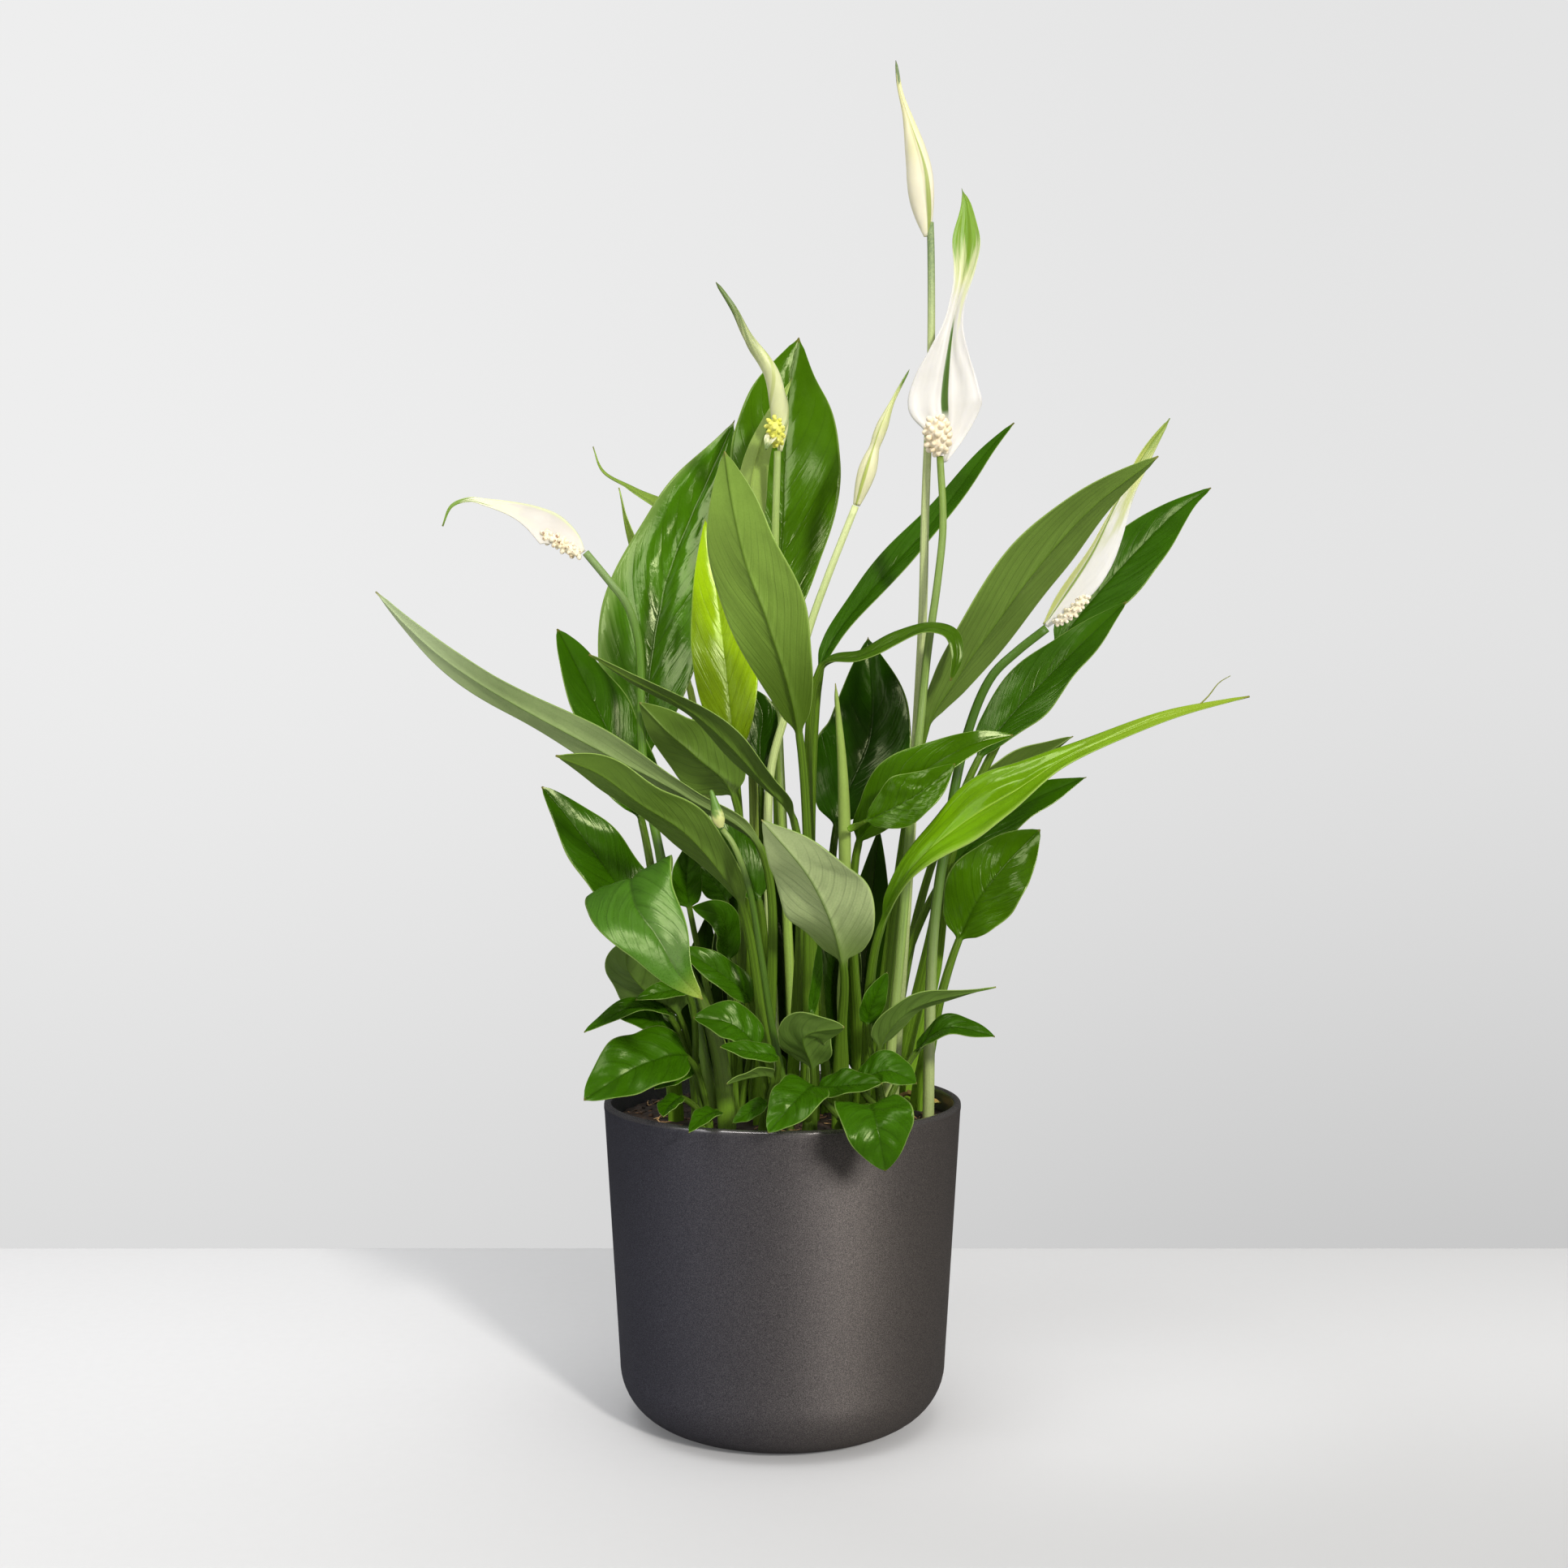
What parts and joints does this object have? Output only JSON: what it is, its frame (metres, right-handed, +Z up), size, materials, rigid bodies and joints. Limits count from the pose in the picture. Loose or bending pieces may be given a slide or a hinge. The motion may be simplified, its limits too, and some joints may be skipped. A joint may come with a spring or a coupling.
{
  "type": "potted peace lily",
  "caption": "Peace lily in a round tapered pot: long-stalked pointed leaves, white spathes with knobbly spadices, and young leaves over the rim.",
  "frame": {"origin": "centre of the pot's underside, where it stands", "axes": "+Z up through the plant, the pictured side towards -Y, +X to that side's right"},
  "size_m": [0.3389, 0.2252, 0.5281],
  "materials": {
    "pot": "dark anthracite, satin with a fine metallic fleck",
    "soil": "damp peat potting mix with bark crumbs",
    "leaf": "glossy green upper side, paler satin underside",
    "young_leaf": "glossy fresh green",
    "dry_leaf": "withered, ochre, dull",
    "scape": "smooth pale green stem",
    "spathe": "satin cream white, greening to the tip",
    "spadix": "matt cream knobs"
  },
  "bodies": {
    "root": {"pot": "pot", "leaf_back_centre": "leaf", "leaf_back_left": "leaf", "leaf_centre_front": "leaf", "leaf_bright": "leaf", "leaf_left_dark": "leaf", "leaf_long_left": "leaf", "leaf_left_mid": "leaf", "leaf_centre_left": "leaf", "leaf_behind_left": "leaf", "leaf_left_low": "leaf", "leaf_front_droop": "leaf", "leaf_front_under": "leaf", "leaf_right_bright": "leaf", "leaf_right_low": "leaf", "leaf_right_dark": "leaf", "leaf_right_under": "leaf", "leaf_right_far": "leaf", "leaf_centre_narrow": "leaf", "leaf_curling": "leaf", "leaf_dark_back": "leaf", "leaf_folded": "leaf", "leaf_rear_right": "leaf", "leaf_rear_low": "leaf", "leaf_rear_left": "leaf", "leaf_rear_behind": "leaf", "leaf_pale_narrow": "leaf", "leaf_inner_dark": "leaf", "leaf_inner_left": "leaf", "leaf_dry": "dry_leaf", "leaf_new_spike": "young_leaf", "young_leaves_left": "young_leaf", "young_leaves_left_high": "young_leaf", "young_leaves_front": "young_leaf", "young_leaves_middle": "young_leaf", "young_leaves_right": "young_leaf", "young_leaves_right_high": "young_leaf", "young_leaves_back_left": "young_leaf", "scape_tall": "scape", "spathe_tall": "spathe", "scape_open": "scape", "spathe_open": "spathe", "spadix_open": "spadix", "scape_centre": "scape", "spathe_centre": "spathe", "spadix_centre": "spadix", "scape_bud": "scape", "spathe_bud": "spathe", "scape_hooded": "scape", "spathe_hooded": "spathe", "spadix_hooded": "spadix", "scape_folded": "scape", "spathe_folded": "spathe", "spadix_folded": "spadix", "scape_small": "scape", "spathe_small": "spathe", "soil": "soil"}
  },
  "joints": []
}
